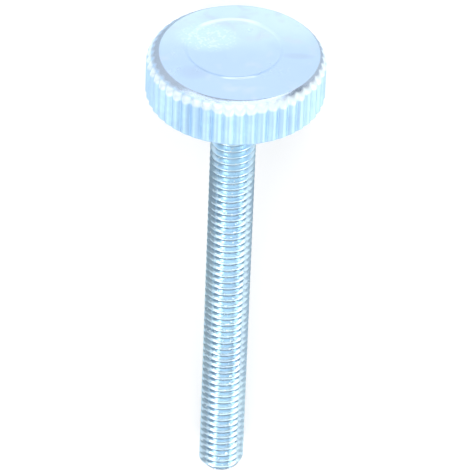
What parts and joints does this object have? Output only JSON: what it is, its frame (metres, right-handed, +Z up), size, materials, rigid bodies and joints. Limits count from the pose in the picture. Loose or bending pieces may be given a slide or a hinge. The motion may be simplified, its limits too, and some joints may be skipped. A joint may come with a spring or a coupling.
{
  "type": "thumb screw",
  "caption": "Thumb screw with a flat knurled head, a bevelled rim and a long fully threaded shank, lying at rest.",
  "frame": {"origin": "on the surface that the screw lies on, under the centre of its bounding box", "axes": "+Z up; the shank points along +Y and slopes down to its tip; the head's top face looks towards -Y"},
  "size_m": [0.0224, 0.0676, 0.023],
  "materials": {
    "plated_steel": "bright zinc-plated steel with a pale blue cast, turned faces and a crisp straight knurl"
  },
  "bodies": {
    "root": {"thumb_screw": "plated_steel"}
  },
  "joints": []
}
